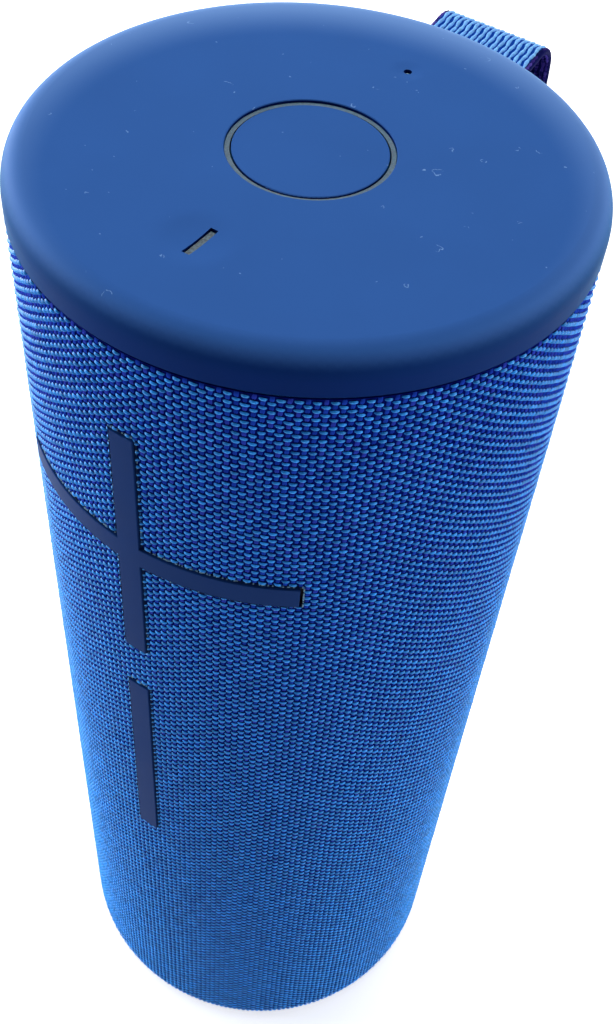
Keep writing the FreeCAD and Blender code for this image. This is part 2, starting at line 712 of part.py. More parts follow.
def make_main_board():
    y0, y1 = MAIN_BOARD_Y
    save("main_board", drilled(box(-21, 21, y0, y1, 54.0, 150.0)))
    can = box(-12, 12, y0 - 3.0, y0, 117.5, 133.0)
    save("shield_can", can.cut(box(-11.6, 11.6, y0 - 2.6, y0 + 1, 117.9, 132.6)))
    save("board_capacitors", Part.makeCompound([cyl_y(4.0, y0 - 8, y0, x, 139.5) for x in (-10, 0, 10)]))
    path = [(18.0, 213.0), (18.0, 210.6), (22.0, 210.6), (22.0, 156.0), (24.2, 149.0), (24.2, 144.5)]
    bends = [(0.9, 1), (1.2, -1), (3.0, 1), (3.0, -1)]
    save("board_ribbon", ribbon(path, bends, 0.2, -14.0, -5.0))


# Base and charging

def make_base_frame():
    plate = cyl(40.2, 2.4, 5.0)
    wall = tube(40.2, 38.4, 4.5, 13.0)
    post_points = [polar(BASE_POST_R, angle) for angle in BASE_POST_DEG]
    posts = [cyl(3.6, 4.5, CHAMBER_Z[0], x, y) for x, y in post_points]
    access = [cyl(2.5, 0, BASE_SEAT_Z, x, y) for x, y in post_points]
    usb_posts = [cyl(2.4, 4.5, USB_BOARD_Z[0], x, USB_SCREW_Y) for x in USB_SCREW_X]
    boss = cyl(9.2, 1.0, 3.0)
    contacts = [cyl(2.65, 0, 3.4), cyl(1.05, 3, 9), tube(8.45, 6.15, 0, 3.4)]
    save("base_frame", drilled(cut(fuse([plate, wall, boss, *posts, *usb_posts]), access + contacts)))


def make_base_cap():
    cap = turned(
        (9.4, 0.6), (33.0, 0.6), (33.6, 0), (BASE_CAP_R - 0.5, 0), (BASE_CAP_R, 0.5), (BASE_CAP_R, 1.4),
        (39.8, 1.4), (39.8, 2.3), (9.4, 2.3),
    )
    save("base_cap", cap)


def make_charge_contacts():
    save("charge_contact_pin", fuse([cyl(2.6, 0.6, 3.35), cyl(1.0, 3.3, 8.0)]))
    save("charge_contact_ring", tube(8.4, 6.2, 0.6, 3.35))


def make_usb():
    width, height, radius = BEZEL
    face = rounded_y(width, height, radius, 30, 50).common(tube(FABRIC_R + 0.15, 40.3, 10, 30))
    flange = rounded_y(width + 4, height + 4, radius + 1, 30, 50).common(tube(40.3, 39.3, 10, 30))
    opening = rounded_y(10.8, 5.2, 1.6, 30, 50)
    save("port_bezel", cut(fuse([face, flange]), [opening]))
    shell = box(-3.75, 3.75, 34.6, 40.2, USB_BOARD_Z[1], 21.6)
    cavity = box(-3.4, 3.4, 35.2, 41.0, 19.3, 21.25)
    tongue = box(-1.9, 1.9, 35.0, 39.6, 20.35, 21.0)
    save("usb_socket", fuse([shell.cut(cavity), tongue]))
    save("usb_board", drilled(box(-10, 10, 21.0, 36.5, *USB_BOARD_Z)))


make_screws()
make_top_cap()
make_top_frame()
make_light_ring()
make_action_button()
make_top_keys()
make_top_switches()
make_button_board()
make_fabric_sleeve()
make_grille_shell()
make_volume_buttons()
make_volume_switches()
make_strap_loop()
make_strap_anchor()
make_acoustic_chamber()
make_lid()
for side_name, side_sign in (("right", 1), ("left", -1)):
    make_driver(side_name, side_sign)
    make_radiator(side_name, side_sign)
make_battery()
make_main_board()
make_base_frame()
make_base_cap()
make_charge_contacts()
make_usb()
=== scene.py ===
import json
import math

import bpy
import numpy as np
from mathutils import Matrix, Vector


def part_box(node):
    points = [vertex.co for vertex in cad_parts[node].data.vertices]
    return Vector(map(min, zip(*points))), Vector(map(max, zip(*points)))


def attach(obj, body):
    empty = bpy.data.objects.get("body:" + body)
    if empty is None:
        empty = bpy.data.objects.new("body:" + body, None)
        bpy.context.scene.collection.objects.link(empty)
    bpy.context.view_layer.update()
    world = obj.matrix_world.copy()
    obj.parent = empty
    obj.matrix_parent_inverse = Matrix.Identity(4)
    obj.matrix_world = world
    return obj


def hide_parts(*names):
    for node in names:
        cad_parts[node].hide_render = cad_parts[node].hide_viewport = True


# Looks of the cylindrical speaker: a woven two-tone sleeve built yarn by yarn, a ribbed webbing
# loop, fused fabric edges round the volume marks, and a material for every CAD piece.
# Lengths, noise sizes and bump depths are millimetres until mesh_object() or Look turns them into
# metres. The front is -Y. A function given a Look adds nodes to that material.

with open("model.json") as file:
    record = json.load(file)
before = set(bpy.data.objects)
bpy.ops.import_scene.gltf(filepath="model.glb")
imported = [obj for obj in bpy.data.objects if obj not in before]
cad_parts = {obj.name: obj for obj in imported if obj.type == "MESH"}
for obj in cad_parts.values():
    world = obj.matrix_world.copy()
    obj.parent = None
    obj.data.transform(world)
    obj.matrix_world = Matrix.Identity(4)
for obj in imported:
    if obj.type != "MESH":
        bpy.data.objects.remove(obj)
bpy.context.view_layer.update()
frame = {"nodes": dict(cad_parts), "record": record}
MM = 0.001
RANDOM = np.random.default_rng(41)


def box_mm(node):
    low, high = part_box(node)
    return np.array(low) / MM, np.array(high) / MM


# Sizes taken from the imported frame
SLEEVE_LOW, SLEEVE_HIGH = box_mm("fabric_sleeve")
MINUS_LOW, MINUS_HIGH = box_mm("volume_down_button")
PLUS_LOW, PLUS_HIGH = box_mm("volume_up_button")
BEZEL_LOW, BEZEL_HIGH = box_mm("port_bezel")
STRAP_LOW, STRAP_HIGH = box_mm("strap_loop")
SLEEVE_R = SLEEVE_HIGH[0]
SLEEVE_TOP = SLEEVE_HIGH[2]
SLEEVE_BOTTOM = SLEEVE_LOW[2]
ROLL_R = 2.8
WALL_LENGTH = SLEEVE_TOP - SLEEVE_BOTTOM - ROLL_R
SLEEVE_LENGTH = WALL_LENGTH + ROLL_R * math.pi / 2

# Plain weave of the sleeve: warp columns round it, weft rows down it
COLUMNS = 240
SECTORS = 12
ROW_PITCH = 0.762
FIRST_ROW = 0.42
ROWS = int((SLEEVE_LENGTH - 0.5) / ROW_PITCH)
YARN_TILT = 0.08
BACKING_SINK = 0.36

# Openings in the sleeve. Press room keeps the arm's ends clear of the fabric as it sinks inward
MARK_GAP = 0.35
PRESS_ROOM = 0.16
PORT_GAP = 0.2
PORT_CORNER = 2.7
STRAP_GAP = (0.3, 0.2)
CUT_CORNER = 0.1
MARK_R = -PLUS_LOW[1]
ARM_ANGLE = math.asin(PLUS_HIGH[0] / (MARK_R - 0.1))
MARK_HALF = (MINUS_HIGH[0] - MINUS_LOW[0]) / 2
PLUS_Z = (PLUS_LOW[2] + PLUS_HIGH[2]) / 2
PLUS_HALF = (PLUS_HIGH[2] - PLUS_LOW[2]) / 2
MINUS_Z = (MINUS_LOW[2] + MINUS_HIGH[2]) / 2
MINUS_HALF = (MINUS_HIGH[2] - MINUS_LOW[2]) / 2
STRAP_HALF = (STRAP_HIGH[0] - STRAP_LOW[0]) / 2
STRAP_T = 1.6
STRAP_TOP_Z = 216.95
STRAP_LOW_Z = 190.5


# Meshes

def mesh_object(name, points, quads, materials, shades=None):
    """Smooth-shaded object from points in millimetres and rows of four corners."""
    mesh = bpy.data.meshes.new(name)
    mesh.vertices.add(len(points))
    mesh.vertices.foreach_set("co", (points * MM).astype(np.float32).ravel())
    mesh.loops.add(quads.size)
    mesh.loops.foreach_set("vertex_index", quads.astype(np.int32).ravel())
    mesh.polygons.add(len(quads))
    mesh.polygons.foreach_set("loop_start", np.arange(0, quads.size, 4, dtype=np.int32))
    for material in materials:
        mesh.materials.append(material)
    if shades is not None:
        mesh.polygons.foreach_set("material_index", shades.astype(np.int32))
    mesh.update(calc_edges=True)
    mesh.shade_smooth()
    piece = bpy.data.objects.new(name, mesh)
    bpy.context.scene.collection.objects.link(piece)
    return piece


def grid_quads(rows, columns, wrap=False):
    """Corner numbers of a grid of points, columns running fastest.
    Wrap joins the last column to the first."""
    across = np.arange(columns if wrap else columns - 1)
    here = np.arange(rows - 1)[:, None] * columns
    a = here + across
    b = here + (across + 1) % columns
    return np.stack([a, b, b + columns, a + columns], -1).reshape(-1, 4)


def repeated(quads, patch_points, count):
    """The same grid of quads for each of count patches."""
    return (quads[None] + (np.arange(count) * patch_points)[:, None, None]).reshape(-1, 4)


def joined_object(name, points, quads, materials, shades):
    """One object from several lots of points, quads and material numbers."""
    starts = np.cumsum([0] + [len(lot) for lot in points[:-1]])
    quads = [lot + start for lot, start in zip(quads, starts)]
    return mesh_object(
        name, np.concatenate(points), np.concatenate(quads), materials, np.concatenate(shades),
    )


def on_sleeve(angle, down, lift):
    """Points at an angle from the front, a distance down the sleeve's surface, lifted outward."""
    turn = np.clip((down - WALL_LENGTH) / ROLL_R, 0, math.pi / 2)
    radial = np.cos(turn)
    vertical = -np.sin(turn)
    radius = SLEEVE_R - ROLL_R + (ROLL_R + lift) * radial
    height = SLEEVE_TOP - np.minimum(down, WALL_LENGTH) + (ROLL_R + lift) * vertical
    return np.stack([radius * np.sin(angle), -radius * np.cos(angle), height], -1)


def openings():
    """Openings unrolled: centre angle, centre height, half width, half height, corner radius.
    In order: the minus mark, the plus mark's upright and its arm, the port, the loop's two slits."""
    gap = MARK_GAP
    arm_half = ARM_ANGLE * SLEEVE_R + gap + PRESS_ROOM
    port_half = (BEZEL_HIGH - BEZEL_LOW) / 2 + PORT_GAP
    port_width = port_half[0] * 1.005
    port_z = (BEZEL_HIGH[2] + BEZEL_LOW[2]) / 2
    slit_width = STRAP_HALF + STRAP_GAP[0]
    slit = STRAP_T / 2 + STRAP_GAP[1]
    return [
        (0.0, MINUS_Z, MARK_HALF + gap, MINUS_HALF + gap, CUT_CORNER),
        (0.0, PLUS_Z, MARK_HALF + gap, PLUS_HALF + gap, CUT_CORNER),
        (0.0, PLUS_Z, arm_half, MARK_HALF + gap, CUT_CORNER),
        (math.pi, port_z, port_width, port_half[2], PORT_CORNER),
        (math.pi, STRAP_LOW_Z, slit_width, slit, CUT_CORNER),
        (math.pi, SLEEVE_TOP, slit_width, SLEEVE_TOP - STRAP_TOP_Z + slit, CUT_CORNER),
    ]


# The arm is the third of them, and the first four have a melted edge
OPENINGS = openings()
ARM = 2
WITH_EDGES = 4


def unrolled(angle, opening):
    """Distance round the sleeve from an opening's centre line."""
    wrapped = (angle - opening[0] + math.pi) % (2 * math.pi) - math.pi
    return wrapped * SLEEVE_R


def depth_inside(x, z, opening):
    """Signed distance to an opening's edge, negative inside, and the way out of it."""
    _, centre_z, half_w, half_h, corner = opening
    qx = np.abs(x) - half_w + corner
    qz = np.abs(z - centre_z) - half_h + corner
    outside = np.hypot(np.maximum(qx, 0), np.maximum(qz, 0))
    inside = np.minimum(np.maximum(qx, qz), 0)
    round_corner = (qx > 0) & (qz > 0)
    length = np.maximum(outside, 1e-9)
    out_x = np.where(round_corner, qx / length, (qx >= qz).astype(float)) * np.sign(x)
    out_z = np.where(round_corner, qz / length, (qx < qz).astype(float)) * np.sign(z - centre_z)
    return outside + inside - corner, out_x, out_z


def cut_back(angle, down):
    """Move points that fall in an opening out to its edge."""
    for opening in OPENINGS:
        x = unrolled(angle, opening)
        z = SLEEVE_TOP - down
        depth, out_x, out_z = depth_inside(x, z, opening)
        push = np.where(depth < 0, -depth, 0)
        angle = angle + push * out_x / SLEEVE_R
        down = down - push * out_z
    return angle, down


def kept(angle, down, reach_x, reach_z):
    """True where a yarn float centred here still shows beside the openings."""
    good = np.ones(angle.shape, bool)
    for opening in OPENINGS:
        x = unrolled(angle, opening)
        depth, out_x, _ = depth_inside(x, SLEEVE_TOP - down, opening)
        reach = np.where(np.abs(out_x) > 0.5, reach_x, reach_z)
        good &= depth > -0.35 * reach
    return good


# Node materials

# Rubber with painted light and shade: the share of its darker side colour and paler top colour goes
# by how far a face looks up
RUBBER_GLOSS = 0.012
SHEEN_BLUE = (0.04, 0.5, 1.0)
PAINTED_LIGHT_FACING = (0.22, 0.86)
DUST_BLUE = (0.20, 0.36, 0.68)
YARN_GLINT = (0.45, 0.75, 1.0)

# Painted reflection on the cap: a pale sheen that grows with the distance from a point in front of
# the centre
RIM_SHEEN_CENTRE = (2.8, -4.7, 0.0)
RIM_SHEEN_RADII = (36.0, 48.9)
RIM_SHEEN_POWER = 1.55
RIM_SHEEN_WALL_SHARE = 0.15
RIM_SHEEN_WALL = (0.075, 0.36, 0.80)
RIM_SHEEN_TOP = (0.24, 0.43, 0.82)


class Look:
    """A node material under construction."""

    def __init__(self, name, roughness=0.5, metallic=0.0, specular=0.5):
        self.material = bpy.data.materials.new(name)
        self.material.use_nodes = True
        self.tree = self.material.node_tree
        self.surface = self.tree.nodes["Principled BSDF"]
        self.surface.inputs["Roughness"].default_value = roughness
        self.surface.inputs["Metallic"].default_value = metallic
        self.surface.inputs["Specular IOR Level"].default_value = specular
        coordinates = self.tree.nodes.new("ShaderNodeTexCoord")
        self.place = coordinates.outputs["Object"]
        self.facing = coordinates.outputs["Normal"]

    def node(self, kind, output, inputs, **settings):
        """Add a node, set or link its inputs by name or number, and return one output."""
        made = self.tree.nodes.new("ShaderNode" + kind)
        for key, value in settings.items():
            setattr(made, key, value)
        for key, value in inputs.items():
            socket = made.inputs[key]
            if isinstance(value, bpy.types.NodeSocket):
                self.tree.links.new(value, socket)
            else:
                socket.default_value = value
        return made.outputs[output]

    def stretched(self, x, y, z):
        """Object coordinates scaled apart along the axes."""
        return self.node("Mapping", 0, {"Vector": self.place, "Scale": (x, y, z)})

    def noise(self, size_mm, detail=3.0, place=None):
        """Noise with blobs of about size_mm."""
        inputs = {"Vector": place or self.place, "Scale": 1000.0 / size_mm, "Detail": detail}
        return self.node("TexNoise", "Fac", inputs)

    def cells(self, size_mm, output="Distance", place=None, feature="F1"):
        """Cells of about size_mm; with a place of their own they lie flat, in X and Y only."""
        inputs = {"Vector": place or self.place, "Scale": 1000.0 / size_mm}
        settings = {"feature": feature, "voronoi_dimensions": "2D" if place else "3D"}
        return self.node("TexVoronoi", output, inputs, **settings)

    def wobbled(self, place, size_mm, reach_mm):
        """A place pushed about by noise, so that round things on it come out irregular."""
        push = self.node("TexNoise", "Color", {"Vector": place, "Scale": 1000.0 / size_mm})
        reach = (2 * reach_mm * MM,) * 3
        return self.node("VectorMath", 0, {0: push, 1: reach, 2: place}, operation="MULTIPLY_ADD")

    def math(self, operation, a, b=0.0):
        return self.node("Math", 0, {0: a, 1: b}, operation=operation)

    def times(self, a, b):
        return self.math("MULTIPLY", a, b)

    def larger(self, a, b):
        return self.math("MAXIMUM", a, b)

    def span(self, value, low, high, to_low=0.0, to_high=1.0, smooth=True):
        """Map low..high to to_low..to_high, held at both ends."""
        inputs = {"Value": value, "From Min": low, "From Max": high}
        inputs |= {"To Min": to_low, "To Max": to_high}
        kind = "SMOOTHSTEP" if smooth else "LINEAR"
        return self.node("MapRange", "Result", inputs, interpolation_type=kind)

    def blend(self, share, first, second):
        """Mix two colours; a colour is three numbers or a socket."""
        first = (*first, 1.0) if isinstance(first, tuple) else first
        second = (*second, 1.0) if isinstance(second, tuple) else second
        return self.node("Mix", 2, {0: share, 6: first, 7: second}, data_type="RGBA")

    def bump(self, height, depth_mm, strength=1.0):
        inputs = {"Height": height, "Distance": depth_mm * MM, "Strength": strength}
        self.tree.links.new(self.node("Bump", 0, inputs), self.surface.inputs["Normal"])

    def finish(self, **sockets):
        for name, value in sockets.items():
            self.tree.links.new(value, self.surface.inputs[name.replace("_", " ")])
        return self.material


def shade(colour, factor):
    return tuple(min(1.0, channel * factor) for channel in colour)


def lucky_cells(look, cell_mm, share, place):
    """1 in a random share of the cells."""
    pick = look.node("SeparateColor", 0, {0: look.cells(cell_mm, "Color", place)})
    return look.span(pick, 1 - share, 1.01 - share, smooth=False)


def specks(look, cell_mm, radius_mm, share, place=None):
    """Round specks in a share of the cells."""
    size = radius_mm / cell_mm
    spot = look.span(look.cells(cell_mm, place=place), size, size * 1.6, 1.0, 0.0)
    return look.times(lucky_cells(look, cell_mm, share, place), spot)


def lint(look, cell_mm, bend_mm, share, place):
    """Short curved fibres: broken arcs round the centre of a share of the cells."""
    from_arc = look.math("SUBTRACT", look.cells(cell_mm, place=place), bend_mm / cell_mm)
    arc = look.span(look.math("ABSOLUTE", from_arc), 0.04 / cell_mm, 0.09 / cell_mm, 1.0, 0.0)
    broken = look.span(look.noise(bend_mm * 2.2, 0.0, place), 0.52, 0.56)
    return look.times(look.times(arc, broken), lucky_cells(look, cell_mm, share, place))


def varied(look, pattern, roughness, less, more):
    """A roughness that follows a noise pattern, from less to more about its middle value."""
    return look.span(pattern, 0.3, 0.7, roughness - less, roughness + more)


def painted_rim_sheen(look, up, flat, rim_sheen):
    """A painted reflection: pale sheen painted on the rear edge of the cap's top, fainter on its
    wall.
    """
    ends = {0: flat, 1: Vector(RIM_SHEEN_CENTRE) * MM}
    reach = look.node("VectorMath", "Value", ends, operation="DISTANCE")
    near, far = (radius * MM for radius in RIM_SHEEN_RADII)
    rim_sheen_share = look.math("POWER", look.span(reach, near, far, smooth=False), RIM_SHEEN_POWER)
    return look.times(rim_sheen_share, look.span(up, -0.3, 0.7, RIM_SHEEN_WALL_SHARE * rim_sheen, rim_sheen))


def loose_dust(look, up, flat, dust):
    """Fine and coarse specks, short and long lint, all on what faces up."""
    loose = look.wobbled(flat, 1.0, 0.7)
    dots = look.larger(specks(look, 2.4, 0.075, 0.05, loose), specks(look, 8.0, 0.11, 0.12, loose))
    hair = look.larger(lint(look, 5.5, 0.3, 0.12, loose), lint(look, 9.0, 0.7, 0.16, loose))
    return look.times(look.larger(dots, hair), look.span(up, 0.5, 0.9, 0.0, dust))


def soft_rubber(name, side, top, dust, roughness, sheen, rim_sheen=0.0):
    """Matte moulded rubber, paler where it faces up (painted light), with fine grain, faint
    cloudiness and dust.
    """
    look = Look(name, roughness, specular=RUBBER_GLOSS)
    look.surface.inputs["Sheen Weight"].default_value = sheen
    look.surface.inputs["Sheen Roughness"].default_value = 0.25
    look.surface.inputs["Sheen Tint"].default_value = (*SHEEN_BLUE, 1.0)
    up = look.node("SeparateXYZ", 2, {0: look.facing})
    # Painted light and shade: faces that look up take the paler top colour, side faces the darker
    # side colour
    painted_light_share = look.span(up, *PAINTED_LIGHT_FACING)
    cloud = look.noise(14.0, 4.0)
    dark = look.blend(cloud, shade(side, 0.9), shade(side, 1.12))
    pale = look.blend(cloud, shade(top, 0.94), shade(top, 1.06))
    colour = look.blend(painted_light_share, dark, pale)
    flat = look.stretched(1.0, 1.0, 0.0)
    # Painted reflection: a pale sheen painted on the cap's rear rim
    if rim_sheen:
        rim_sheen_colour = look.blend(painted_light_share, RIM_SHEEN_WALL, RIM_SHEEN_TOP)
        colour = look.blend(painted_rim_sheen(look, up, flat, rim_sheen), colour, rim_sheen_colour)
    if dust:
        colour = look.blend(loose_dust(look, up, flat, dust), colour, DUST_BLUE)
    look.bump(look.noise(0.35, 2.0), 0.006, 0.6)
    return look.finish(Base_Color=colour, Roughness=varied(look, cloud, roughness, 0.04, 0.05))


def yarn(name, colour, roughness, gloss=0.015):
    """Spun polyester; the colour of one yarn is even, and neighbours differ by their own shade."""
    look = Look(name, roughness, specular=gloss)
    look.surface.inputs["Base Color"].default_value = (*colour, 1.0)
    look.surface.inputs["Specular Tint"].default_value = (*YARN_GLINT, 1.0)
    fibre = look.noise(0.09, 2.0, look.stretched(1.0, 1.0, 2.5))
    return look.finish(Roughness=varied(look, fibre, roughness, 0.12, 0.12))


def plastic(name, colour, roughness=0.5, grain_mm=0.4):
    """Moulded plastic with a spark-eroded grain and slight flow clouds."""
    look = Look(name, roughness)
    cloud = look.noise(9.0)
    tone = look.blend(cloud, shade(colour, 0.85), shade(colour, 1.15))
    look.bump(look.noise(grain_mm, 2.0), 0.01, 0.5)
    return look.finish(Base_Color=tone, Roughness=varied(look, cloud, roughness, 0.06, 0.08))


def metal(name, colour, roughness=0.3, brushed=(1.0, 1.0, 12.0)):
    """Drawn or plated metal with fine directional scratches."""
    look = Look(name, roughness, metallic=1.0)
    streak = look.noise(1.2, 4.0, look.stretched(*brushed))
    stain = look.noise(6.0)
    tone = look.blend(stain, shade(colour, 0.88), shade(colour, 1.08))
    look.bump(streak, 0.004, 0.4)
    return look.finish(Base_Color=tone, Roughness=varied(look, streak, roughness, 0.08, 0.14))


def circuit_board(name, colour):
    """Solder mask over copper tracks, with a few bright pads."""
    look = Look(name, 0.4)
    edge = look.cells(2.2, "Distance", feature="DISTANCE_TO_EDGE")
    track = look.span(edge, 0.05, 0.08, 1.0, 0.0)
    base = look.blend(track, colour, shade(colour, 2.4))
    pads = specks(look, 1.8, 0.3, 0.3)
    look.bump(track, 0.03, 0.5)
    return look.finish(Base_Color=look.blend(pads, base, (0.55, 0.42, 0.2)))


def paper_cone(name, colour):
    """Pressed pulp with long fibres."""
    look = Look(name, 0.85, specular=0.2)
    fibre = look.noise(0.7, 6.0, look.stretched(1.0, 3.0, 1.0))
    look.bump(fibre, 0.05, 0.6)
    return look.finish(Base_Color=look.blend(fibre, shade(colour, 0.6), shade(colour, 1.5)))


def light_guide(name, colour, grime=0.25):
    """Milky light guide, grey-green when it is off, with a share of dark grime on it."""
    look = Look(name, 0.35)
    look.surface.inputs["Subsurface Weight"].default_value = 0.15
    look.surface.inputs["Subsurface Scale"].default_value = 0.0006
    cloud = look.noise(0.8)
    look.bump(look.noise(0.25, 2.0), 0.01, 0.5)
    clean = look.blend(cloud, shade(colour, 0.8), shade(colour, 1.25))
    grain = look.span(look.noise(0.4, 2.0), 0.38, 0.62, grime, 0.0)
    return look.finish(Base_Color=look.blend(grain, clean, shade(colour, 0.25)))


def shrink_wrap(name, colour):
    """Glossy film over a can, with faint wrinkles."""
    look = Look(name, 0.28)
    wrinkle = look.noise(3.0, 5.0, look.stretched(1.0, 1.0, 0.25))
    look.bump(wrinkle, 0.05, 0.4)
    return look.finish(Base_Color=look.blend(wrinkle, shade(colour, 0.8), shade(colour, 1.2)))


# The sleeve

# Yarn colours with the share of the floats that has each; the weft's are shades of one azure
AZURE = (0.024, 0.275, 0.80)
NAVY = (0.0005, 0.005, 0.12)
WEFT_SHADES = [(0.80, 0.12), (0.93, 0.33), (1.05, 0.35), (1.20, 0.20)]
WARPS = [((0.006, 0.030, 0.32), 0.30), ((0.009, 0.044, 0.40), 0.40), ((0.020, 0.042, 0.40), 0.30)]

# A float's half width and half height, and the quads across and along it
WEFT_SIZE, WEFT_STEPS = (0.60, 0.25), (6, 3)
WARP_SIZE, WARP_STEPS = (0.32, 0.54), (4, 3)

# The melted bead along an opening's edge
BEAD_STEP = 0.22
BEAD_R = 0.12
BEAD_OUT = 0.05
BEAD_SINK = 0.22


def yarn_materials():
    made = []
    for i, (factor, _) in enumerate(WEFT_SHADES):
        made.append(yarn(f"weft_yarn_{i}", shade(AZURE, factor), 0.36, 0.28))
    for i, (colour, _) in enumerate(WARPS):
        made.append(yarn(f"warp_yarn_{i}", colour, 0.6))
    return made


def shade_numbers(shades, count, first):
    """A random shade for each yarn float, by the shares in the list."""
    shares = np.array([share for _, share in shades])
    return first + RANDOM.choice(len(shades), count, p=shares / shares.sum())


def floats(columns, rows, size, steps, shape):
    """Little patches of yarn that lie over the weave at the given columns and rows."""
    half_w, half_h = size
    u, v = np.meshgrid(np.linspace(-1, 1, steps[0] + 1), np.linspace(-1, 1, steps[1] + 1))
    u, v = u.ravel(), v.ravel()
    angle = columns * 2 * math.pi / COLUMNS
    down = FIRST_ROW + rows * ROW_PITCH
    good = kept(angle, down, half_w, half_h)
    angle, down = angle[good], down[good]
    count = len(angle)
    jitter = RANDOM.normal(0, 1, (5, count, 1))
    across, along, lift = shape(u, v, jitter[2])
    across = half_w * across * (1 + 0.05 * jitter[0])
    along = half_h * along * (1 + 0.06 * jitter[1])
    tilt = 0.05 * jitter[3] - YARN_TILT
    x = across - tilt * along
    s = along + tilt * across + 0.025 * jitter[4]
    angles, downs = cut_back(angle[:, None] + x / SLEEVE_R, down[:, None] - s)
    downs = np.clip(downs, 0.02, SLEEVE_LENGTH)
    points = on_sleeve(angles, downs, lift).reshape(-1, 3)
    quads = repeated(grid_quads(steps[1] + 1, steps[0] + 1), len(u), count)
    return points, quads, count


def weft_float(u, v, jitter):
    """Azure float: a long lens of yarn that droops and dives at both ends."""
    fat = 0.22 + 0.78 * (1 - u ** 2) ** 0.6
    lift = 0.08 - 0.12 * u ** 2 - 0.20 * u ** 4 - 0.24 * v ** 2 + 0.02 * jitter
    return u, v * fat - 0.4 * u ** 2, lift


def warp_float(u, v, jitter):
    """Royal float: two thin plies side by side that dive under the weft above and below them."""
    ply = 0.10 * np.exp(-(u / 0.3) ** 2) + 0.16 * u ** 4
    lift = -0.10 - ply - 0.20 * (1 - np.cos(v * math.pi / 2)) + 0.02 * jitter
    return u * (1 - 0.12 * v ** 2), v, lift


def woven_sector(index, materials):
    """A twelfth of the sleeve's yarns, as one piece."""
    per_sector = COLUMNS // SECTORS
    columns, rows = np.meshgrid(np.arange(per_sector) + index * per_sector, np.arange(ROWS))
    over = (columns + rows) % 2 == 0
    weft, weft_quads, wefts = floats(columns[over], rows[over], WEFT_SIZE, WEFT_STEPS, weft_float)
    warp, warp_quads, warps = floats(columns[~over], rows[~over], WARP_SIZE, WARP_STEPS, warp_float)
    weft_shades = shade_numbers(WEFT_SHADES, wefts, 0)
    warp_shades = shade_numbers(WARPS, warps, len(WEFT_SHADES))
    weft_shades = np.repeat(weft_shades, math.prod(WEFT_STEPS))
    warp_shades = np.repeat(warp_shades, math.prod(WARP_STEPS))
    points = np.concatenate([weft, warp])
    quads = np.concatenate([weft_quads, warp_quads + len(weft)])
    shades = np.concatenate([weft_shades, warp_shades])
    return mesh_object(f"sleeve_yarns_{index}", points, quads, materials, shades)


def sleeve_backing(material):
    """The shadowed inner layer of the sleeve: the CAD sleeve with its outside drawn in."""
    backing = bpy.data.objects.new("sleeve_backing", frame["nodes"]["fabric_sleeve"].data.copy())
    bpy.context.scene.collection.objects.link(backing)
    points = np.array([v.co for v in backing.data.vertices]) / MM
    radius = np.hypot(points[:, 0], points[:, 1])
    hub_r, hub_z = SLEEVE_R - ROLL_R, SLEEVE_BOTTOM + ROLL_R
    below = np.minimum(points[:, 2] - hub_z, 0)
    beside = radius - hub_r
    reach = np.hypot(beside, below)
    drawn = np.minimum(reach, ROLL_R - BACKING_SINK) / np.maximum(reach, 1e-6)
    new_radius = hub_r + beside * drawn
    points[:, 0] *= new_radius / radius
    points[:, 1] *= new_radius / radius
    points[:, 2] = np.where(below < 0, hub_z + below * drawn, points[:, 2])
    backing.data.vertices.foreach_set("co", (points * MM).astype(np.float32).ravel())
    backing.data.materials.clear()
    backing.data.materials.append(material)
    backing.data.update()
    return backing


def edge_walk(opening, step):
    """Points along an opening's edge, unrolled, as x and z."""
    _, centre_z, half_w, half_h, corner = opening
    walk = []
    for turn, (c, s) in enumerate([(1, 0), (0, 1), (-1, 0), (0, -1)]):
        wide, high = (half_w, half_h) if turn % 2 == 0 else (half_h, half_w)
        side = np.arange(-(high - corner), high - corner, step)
        sweep = np.arange(0, math.pi / 2, max(step / corner, 0.3))
        x = np.concatenate([np.full_like(side, wide), wide - corner + corner * np.cos(sweep)])
        z = np.concatenate([side, high - corner + corner * np.sin(sweep)])
        walk.append(np.stack([x * c - z * s, x * s + z * c]))
    x, z = np.concatenate(walk, axis=1)
    return x, z + centre_z


def fused_tones(count, out_x, out_z, on_arm):
    """A tone for each bead of an edge: navy or blue, and pale along the top and the arm's ends."""
    on_end = (np.abs(out_x) > 0.5) & on_arm
    pale = np.where(out_z > 0.5, 0.5, np.where(on_end, 0.7, 0.05))
    tone = (RANDOM.random(count) < 0.25).astype(int)
    tone[RANDOM.random(count) < pale] = 2
    return tone


